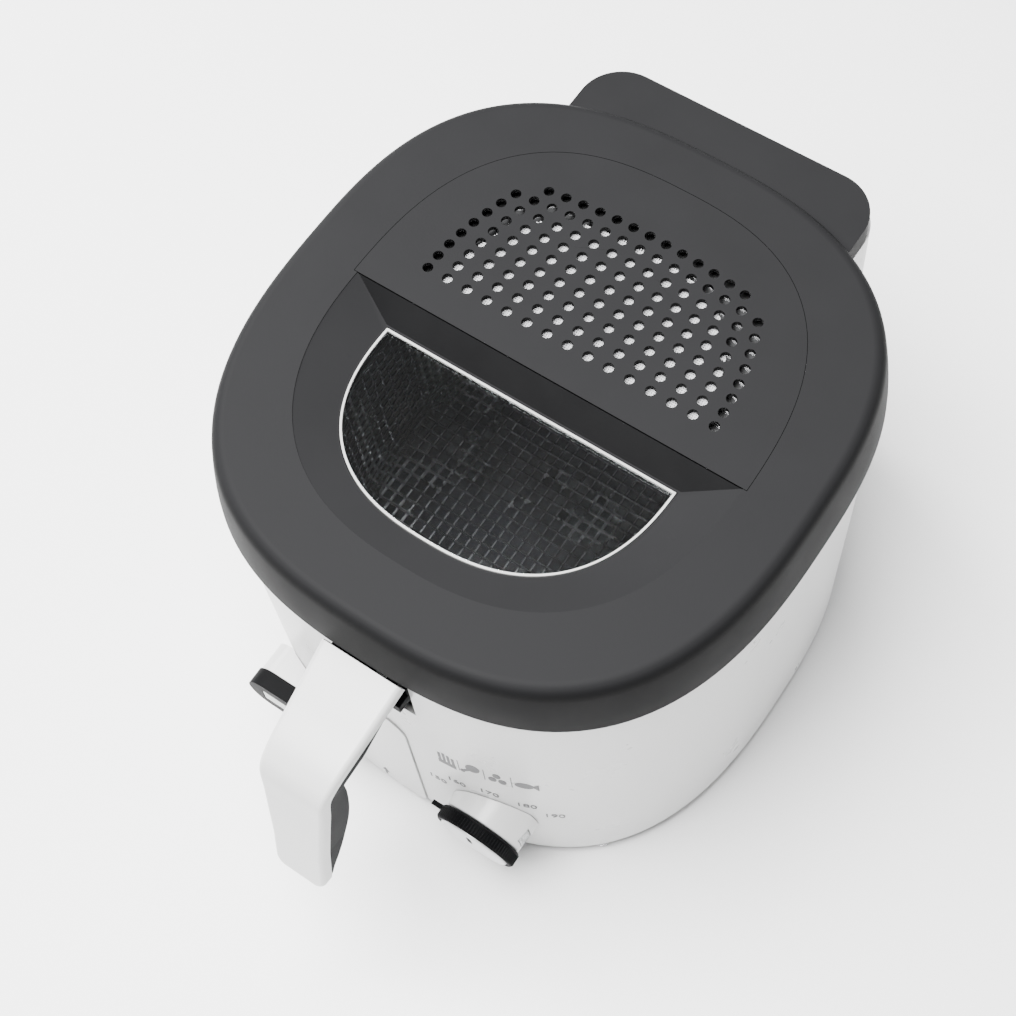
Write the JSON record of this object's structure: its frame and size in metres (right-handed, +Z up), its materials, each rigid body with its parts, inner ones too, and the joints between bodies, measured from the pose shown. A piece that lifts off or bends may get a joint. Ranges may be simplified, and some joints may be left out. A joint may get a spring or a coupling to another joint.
{
  "type": "deep fryer",
  "caption": "Household deep fryer with hinged windowed lid, perforated filter cover, lifting basket on a folding-down front handle, thermostat knob, minute timer and front drain tube.",
  "frame": {"origin": "on the floor, under the middle of the whole object as it stands with the lid closed and the handle down", "axes": "+Z up, front with the handle, door and knob towards -Y, +X to the right as seen from the front"},
  "size_m": [0.27, 0.3824, 0.228],
  "materials": {
    "white_plastic": "glossy white moulded plastic",
    "lid_plastic": "satin dark grey moulded plastic with a fine grain",
    "black_plastic": "satin black moulded plastic",
    "black_rubber": "matt black rubber",
    "grey_silicone": "matt grey silicone",
    "steel": "bright drawn steel",
    "basket_wire": "bright woven wire and pressed strap",
    "bowl_coating": "dark speckled non-stick coating",
    "aluminium": "plain pressed sheet",
    "window_glass": "clear",
    "amber": "clear amber",
    "charcoal": "black charcoal felt",
    "silver_plastic": "satin silver plastic"
  },
  "bodies": {
    "housing": {"outer_casing": "white_plastic", "base_plate": "black_plastic", "foot_1": "black_rubber", "foot_2": "black_rubber", "foot_3": "black_rubber", "foot_4": "black_rubber", "base_screw_1": "steel", "base_screw_2": "steel", "base_screw_3": "steel", "base_screw_4": "steel", "oil_bowl": "bowl_coating", "rim_ring": "black_plastic", "heating_element": "steel", "heat_shield": "aluminium", "safety_cutout": "silver_plastic", "terminal_block": "white_plastic", "cord_gland": "black_rubber", "thermostat_body": "silver_plastic", "sensor_capillary": "steel", "thermostat_collar": "white_plastic", "pilot_lens": "window_glass", "pilot_lamp": "amber", "timer_collar": "white_plastic", "timer_body": "black_plastic", "timer_display": "silver_plastic", "timer_battery": "steel", "drain_compartment": "white_plastic", "door_hinge_pin": "steel", "lid_hinge_pin": "steel", "lid_spring": "steel", "handle_bracket": "black_plastic", "handle_hinge_pin_left": "steel", "handle_hinge_pin_right": "steel"},
    "lid": {"lid_shell": "lid_plastic", "lid_liner": "aluminium", "lid_gasket": "grey_silicone", "window_gasket": "grey_silicone", "window_glass": "window_glass", "filter_tray": "black_plastic", "charcoal_filter": "charcoal", "grease_filter": "steel", "lid_catch": "steel"},
    "filter_cover": {"filter_cover": "lid_plastic"},
    "thermostat_knob": {"knob_ring": "black_plastic", "knob_face": "silver_plastic", "knob_mark": "black_plastic", "knob_shaft": "steel"},
    "timer_button": {"timer_button": "grey_silicone"},
    "release_button": {"release_button": "white_plastic"},
    "drain_door": {"drain_door": "white_plastic"},
    "drain_tube": {"drain_tube": "grey_silicone"},
    "drain_cap": {"drain_cap": "black_plastic"},
    "handle": {"handle_shell": "white_plastic", "handle_grip": "black_plastic", "lift_pin": "steel"},
    "basket": {"basket": "basket_wire", "basket_rim": "basket_wire", "lift_strap": "basket_wire"}
  },
  "joints": [
    {"name": "lid_hinge", "type": "hinge", "parent": "housing", "child": "lid", "pos_m": [0, 0.18425, 0.2035], "axis": [-1, 0, 0], "range_deg": [0, 75]},
    {"name": "filter_cover_hinge", "type": "hinge", "parent": "lid", "child": "filter_cover", "pos_m": [0, 0.13125, 0.228], "axis": [-1, 0, 0], "range_deg": [0, 80]},
    {"name": "thermostat_turn", "type": "hinge", "parent": "housing", "child": "thermostat_knob", "pos_m": [0.049, -0.11377, 0.05], "axis": [0, 0.9945, 0.1045], "range_deg": [0, 250]},
    {"name": "timer_button_press", "type": "slide", "parent": "housing", "child": "timer_button", "axis": [0, 1, 0], "range_m": [0, 0.0012], "stiffness_N_per_m": 400},
    {"name": "lid_release_press", "type": "slide", "parent": "housing", "child": "release_button", "axis": [0.7306, 0.6828, 0], "range_m": [0, 0.003], "stiffness_N_per_m": 800},
    {"name": "drain_door_hinge", "type": "hinge", "parent": "housing", "child": "drain_door", "pos_m": [-0.0346, -0.11768, 0.063], "axis": [0, 0, -1], "range_deg": [0, 100]},
    {"name": "drain_tube_swing", "type": "hinge", "parent": "housing", "child": "drain_tube", "pos_m": [-0.008, -0.10155, 0.066], "axis": [1, 0, 0], "range_deg": [0, 56]},
    {"name": "drain_cap_pull", "type": "slide", "parent": "drain_tube", "child": "drain_cap", "axis": [0, 0, 1], "range_m": [0, 0.014]},
    {"name": "handle_lift", "type": "hinge", "parent": "housing", "child": "handle", "pos_m": [0, -0.12075, 0.184], "axis": [-1, 0, 0], "range_deg": [0, 38]},
    {"name": "basket_lift", "type": "slide", "parent": "housing", "child": "basket", "axis": [0, 0, 1], "range_m": [0, 0.0295]}
  ],
  "couplings": [
    {"joint": "basket_lift", "follows": "handle_lift", "m_per_rad": 0.04386},
    {"joint": "drain_tube_swing", "follows": "drain_door_hinge", "ratio": 0.55}
  ]
}
